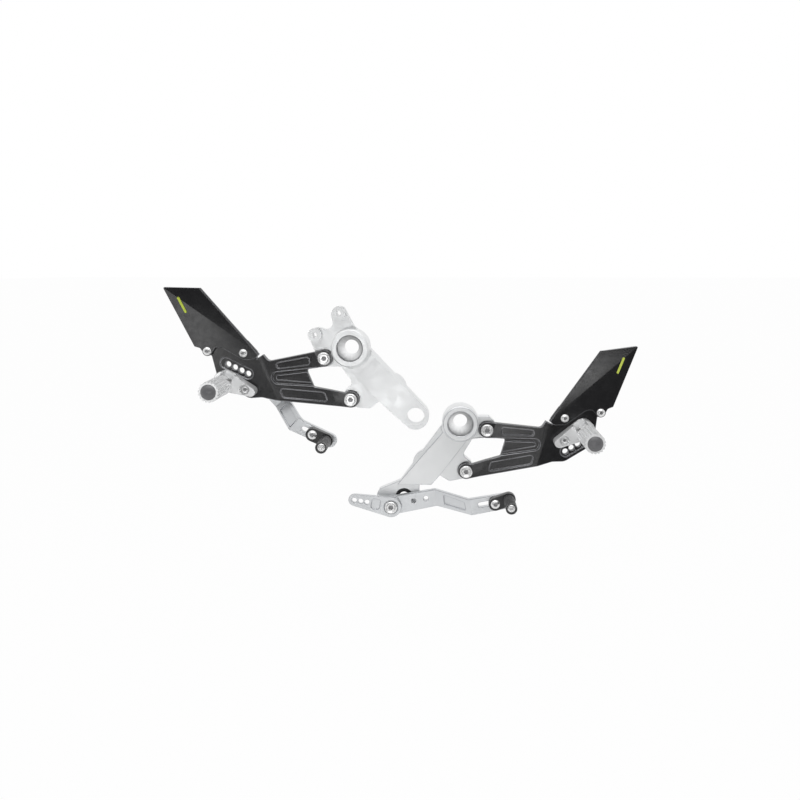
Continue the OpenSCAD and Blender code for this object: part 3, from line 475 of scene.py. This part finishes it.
# a merged copy of one CAD piece with its edges broken, which stands for the piece
def dressNode(node, plan):
    source = frame["nodes"][node]
    body = body_of(source)[0]
    pickOnly(source)
    bpy.ops.object.duplicate()
    piece = bpy.context.active_object
    for key in list(piece.keys()):
        del piece[key]
    bpy.ops.object.parent_clear(type="CLEAR_KEEP_TRANSFORM")
    piece.name = "dressed_" + node
    piece.data.name = piece.name
    piece.data.materials.clear()
    for material in plan["look"]:
        piece.data.materials.append(material)
    for face in piece.data.polygons:
        face.material_index = bodyFinish
    bpy.ops.object.mode_set(mode="EDIT")
    bpy.ops.mesh.select_mode(type="VERT")
    bpy.ops.mesh.select_all(action="SELECT")
    bpy.ops.mesh.remove_doubles(threshold=plan.get("merge", edgeWork["merge"]))
    bpy.ops.mesh.dissolve_limited(angle_limit=math.radians(edgeWork["flat"]))
    bpy.ops.object.mode_set(mode="OBJECT")
    # painted shade inside the sockets of bolt and screw heads
    if plan.get("sockets"):
        paintSocketShade(piece.data)
    if plan.get("trim"):
        toWorld = brakePoint if node.startswith("brake") else shiftPoint
        cutAway(piece, sideBox("trimmer", toWorld, **plan["trim"]))
    bevel = piece.modifiers.new("edgeBreak", "BEVEL")
    bevel.width, bevel.segments = plan["edge"], edgeWork["segments"]
    bevel.limit_method, bevel.angle_limit = "ANGLE", math.radians(edgeWork["corner"])
    if plan.get("outer"):
        weighOuterEdges(piece.data)
        bevel.limit_method = "WEIGHT"
    bevel.use_clamp_overlap = not plan.get("full")
    bevel.material = edgeFinish
    bpy.ops.object.modifier_apply(modifier=bevel.name)
    bpy.ops.object.shade_smooth_by_angle(angle=math.radians(edgeWork["smooth"]))
    keepCreases(piece.data)
    level = piece.modifiers.new("flatFaces", "WEIGHTED_NORMAL")
    level.keep_sharp = True
    bpy.ops.object.modifier_apply(modifier=level.name)
    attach(piece, body)
    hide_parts(node)


fasteners = ["brake_plate_bolts", "shift_plate_bolts", "gear_lever_bolt", "brake_pedal_bolt",
             "brake_heel_guard_screws", "shift_heel_guard_screws", "brake_peg_block_screws",
             "shift_peg_block_screws", "brake_toe_link_screw", "shift_toe_link_screw",
             "brake_toe_peg_screw", "shift_toe_peg_screw"]
nuts = ["brake_peg_block_nut", "shift_peg_block_nut", "brake_toe_link_nut", "shift_toe_link_nut"]
# nothing of a guard stands past its straight front edge; in millimetres, in a side's own frame
pastGuard = {"at": (122.14, 34.02), "way": 55.74, "size": (70.0, 10.0, 40.0), "out": 30.0}
# full lets an edge keep its width where faces are narrow; outer leaves inner corners sharp
dressing = {
    "brake frame plate": {"nodes": ["brake_frame_plate"], "look": (brakeFrame, edgeShadeGrey),
                          "edge": 0.0005, "merge": 0.00024, "outer": True,
                          "slot": "frame_aluminium"},
    "shift frame plate": {"nodes": ["shift_frame_plate"], "look": (shiftFrame, edgeShadeGrey),
                          "edge": 0.0005, "merge": 0.00024, "full": True, "outer": True,
                          "slot": "frame_aluminium"},
    "pedal and lever": {"nodes": ["brake_pedal", "gear_lever", "shift_arm"],
                        "look": (leverSatin, edgeShadeGrey), "edge": 0.0006, "full": True,
                        "slot": "lever_aluminium"},
    "peg blocks": {"nodes": ["brake_peg_block", "shift_peg_block"],
                   "look": (blockSatin, edgeBright), "edge": 0.0007, "full": True,
                   "slot": "block_aluminium"},
    "footpegs": {"nodes": ["brake_footpeg", "shift_footpeg"], "look": (pegBright, edgeBright),
                 "edge": 0.00012, "slot": "peg_aluminium"},
    "peg plates": {"nodes": ["brake_peg_plate", "shift_peg_plate"],
                   "look": (plateBlack, plateEdgeHighlight), "edge": 0.0009, "full": True,
                   "slot": "black_anodised"},
    "heel guards": {"nodes": ["brake_heel_guard", "shift_heel_guard"],
                    "look": (guardBlack, plateEdgeHighlight), "edge": 0.0005, "full": True,
                    "trim": pastGuard, "slot": "black_anodised"},
    "toe links": {"nodes": ["brake_toe_link", "shift_toe_link"], "look": (toeBlack, toeEdgeHighlight),
                  "edge": 0.0005, "full": True, "slot": "black_anodised"},
    "brake toe peg": {"nodes": ["brake_toe_peg"], "look": (toeBlack, toeEdgeHighlight),
                      "edge": 0.00025, "slot": "toe_peg_black"},
    "shift toe peg": {"nodes": ["shift_toe_peg"], "look": (toeKnurl, toeEdgeHighlight),
                      "edge": 0.00025, "slot": "toe_peg_black"},
    "bolts and screws": {"nodes": fasteners, "look": (steelBright, edgeBright, steelSocketShade),
                         "edge": 0.00025, "slot": "stainless", "sockets": True},
    "nuts": {"nodes": nuts, "look": (steelBright, edgeBright), "edge": 0.00025,
             "slot": "stainless"},
    "eye bush": {"nodes": ["shift_eye_bush"], "look": (bushBlack, bushBlack), "edge": 0.0003,
                 "slot": "eye_bush_black"},
}
for group, plan in dressing.items():
    for node in plan["nodes"]:
        dressNode(node, plan)
    print("dressed:", group)

# pieces that stay as they are, with their own finish
plain = {
    "brake_peg_end_cap": capGrey, "shift_peg_end_cap": capGrey,
    "brake_peg_hinge_pin": steelBright, "shift_peg_hinge_pin": steelBright,
    "brake_peg_spring": wireSteel, "shift_peg_spring": wireSteel,
    "brake_pedal_bush": bronze, "gear_lever_bush": bronze,
    "shift_arm_dowel": steelBright,
}
for node, material in plain.items():
    piece = frame["nodes"][node]
    piece.data.materials.clear()
    piece.data.materials.append(material)
print("plain pieces finished")

# plain marks laid on the black plates, given in a side's own frame in millimetres
accent = {"at": (194.4, 76.6), "out": 34.0, "way": 70.4, "size": (21.0, 2.8, 0.24),
          "round": 1.2, "colour": (0.62, 0.72, 0.10)}
ticks = {"rows": [(128.7, -16.3), (132.1, -33.7)], "perRow": 4, "pitch": 9.0, "way": 32.5,
         "shift": (2.6, -4.9), "out": 27.8, "size": (1.5, 0.45, 0.12), "round": 0.15,
         "colour": (0.42, 0.42, 0.43)}
paintGrain = {"cloud": 900, "dulled": 0.85, "smear": 400, "rough": (0.4, 0.55)}


def paint(name, colour):
    f = Finish(name)
    where = f.place()
    cloud = f.patches(where, paintGrain["cloud"], 3)
    f.set(Base_Color=f.mix(cloud, shaded(colour, paintGrain["dulled"]), colour),
          Roughness=f.patches(where, paintGrain["smear"], 3, paintGrain["rough"]))
    return f.material


accentPaint = paint("accentPaint", accent["colour"])
tickPaint = paint("tickPaint", ticks["colour"])
for side, toWorld in (("brake", brakePoint), ("shift", shiftPoint)):
    stripe = flatBar(side + "_guard_stripe", toWorld, accent["at"], accent["way"],
                     accent["size"], accent["out"], accent["round"], accentPaint)
    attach(stripe, "frame_plates")
    bars = []
    along = Vector(heading(ticks["way"]))
    across = Vector((-along.y, along.x))
    for row in ticks["rows"]:
        for i in range(ticks["perRow"]):
            spot = (Vector(row) + along * (i * ticks["pitch"] + ticks["shift"][0])
                    + across * ticks["shift"][1])
            bars.append(flatBar(side + "_tick", toWorld, spot, ticks["way"] + 90,
                                ticks["size"], ticks["out"], ticks["round"], tickPaint))
    bpy.ops.object.select_all(action="DESELECT")
    for bar in bars:
        bar.select_set(True)
    bpy.context.view_layer.objects.active = bars[0]
    bpy.ops.object.join()
    marks = bpy.context.active_object
    marks.name = side + "_position_ticks"
    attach(marks, "frame_plates")
print("marks laid on")

# studio: floor, air, lamps and camera
studio = {"floorLevel": -0.42, "floorFront": -0.7, "floorMiddle": 0.06, "floorSize": 40.0,
          "floorDark": (0.90, 0.90, 0.90), "floorPale": (0.93, 0.93, 0.93), "floorCloud": 6,
          "floorRough": 0.8, "glow": 0.97, "fill": 0.50, "roomDim": 0.14, "roomBright": 1.0,
          "roomLean": 0.6, "roomFrom": -0.8, "roomTo": 0.1}
lamps = {
    "lowSoftbox": {"at": (-0.19, -1.46, -0.225), "aim": (0.02, 0.0, -0.08),
                   "size": (0.26, 0.20), "power": 0.85},
    "armCard": {"at": (0.06, -1.46, -0.50), "aim": (0.10, 0.0, -0.15),
                "size": (0.20, 0.20), "power": 0.36},
    "brakeCard": {"at": (-0.68, -1.46, -0.08), "aim": (-0.18, 0.0, 0.03),
                  "size": (0.30, 0.36), "power": 0.9},
    "shiftCard": {"at": (0.30, -1.46, -0.03), "aim": (0.30, 0.0, -0.05),
                  "size": (0.22, 0.20), "power": 0.8},
    "topSoftbox": {"at": (0.05, -0.75, 1.25), "aim": (0.06, 0.0, -0.08),
                   "size": (1.8, 0.8), "power": 9.0},
}


def makeFloor():
    bpy.ops.object.select_all(action="DESELECT")
    depth = studio["floorFront"] + studio["floorSize"] / 2
    bpy.ops.mesh.primitive_plane_add(size=studio["floorSize"],
                                     location=(studio["floorMiddle"], depth,
                                               studio["floorLevel"]))
    floor = bpy.context.active_object
    floor.name = "floor"
    f = Finish("floorWhite")
    cloud = f.noise(f.place(), studio["floorCloud"])
    f.set(Base_Color=f.mix(cloud, studio["floorDark"], studio["floorPale"]),
          Roughness=studio["floorRough"])
    seen = (f.ray("Camera") + f.ray("Glossy") + f.ray("Transmission")) * studio["glow"]
    paintedLightRamp = Amount(f.tree, f.shader.outputs[0])
    glow = f.node("ShaderNodeEmission", None, {"Strength": 1.0})
    both = f.node("ShaderNodeMixShader", None, {0: seen, 1: paintedLightRamp, 2: glow})
    put(f.tree, f.tree.nodes["Material Output"].inputs[0], both)
    floor.data.materials.append(f.material)


# white where the camera, glass and gloss look past the object, dimmer in the room in front of it
def makeAir():
    world = bpy.data.worlds.new("studioAir")
    bpy.context.scene.world = world
    world.use_nodes = True
    air = Nodes(world.node_tree)
    x, y, z = air.parts(air.node("ShaderNodeTexCoord", out="Generated"))
    room = air.spread(y + z * studio["roomLean"], studio["roomFrom"], studio["roomTo"],
                      studio["roomDim"], studio["roomBright"])
    seen = air.ray("Camera") + air.ray("Transmission")
    glossy = air.ray("Glossy")
    back = air.tree.nodes["Background"]
    put(air.tree, back.inputs["Color"], (1, 1, 1, 1))
    put(air.tree, back.inputs["Strength"],
        seen + glossy * room + (1 - seen - glossy) * studio["fill"])


def addLamp(name, plan):
    bpy.ops.object.select_all(action="DESELECT")
    bpy.ops.object.light_add(type="AREA", location=plan["at"])
    lamp = bpy.context.active_object
    lamp.name = name
    lamp.data.shape = "RECTANGLE"
    lamp.data.size, lamp.data.size_y = plan["size"]
    lamp.data.energy = plan["power"]
    lamp.rotation_mode = "QUATERNION"
    aim = Vector(plan["aim"]) - Vector(plan["at"])
    lamp.rotation_quaternion = aim.to_track_quat("-Z", "Y")


view = {"aim": (0.0578, 0.0312, -0.0730), "yaw": -3.3, "pitch": -9.8, "distance": 1.0,
        "lens": 34.61, "sensor": 36, "near": 0.01, "far": 100}


def makeCamera():
    bpy.ops.object.select_all(action="DESELECT")
    (north, east), (level, up) = heading(view["yaw"]), heading(view["pitch"])
    ahead = Vector((east * level, north * level, up))
    bpy.ops.object.camera_add(location=Vector(view["aim"]) - view["distance"] * ahead)
    camera = bpy.context.active_object
    camera.data.sensor_width = view["sensor"]
    camera.data.lens = view["lens"]
    camera.data.clip_start, camera.data.clip_end = view["near"], view["far"]
    camera.rotation_mode = "QUATERNION"
    camera.rotation_quaternion = ahead.to_track_quat("-Z", "Y")
    bpy.context.scene.camera = camera


makeFloor()
makeAir()
for name, plan in lamps.items():
    addLamp(name, plan)
makeCamera()
bpy.context.scene.view_settings.view_transform = "Standard"
print("studio ready")
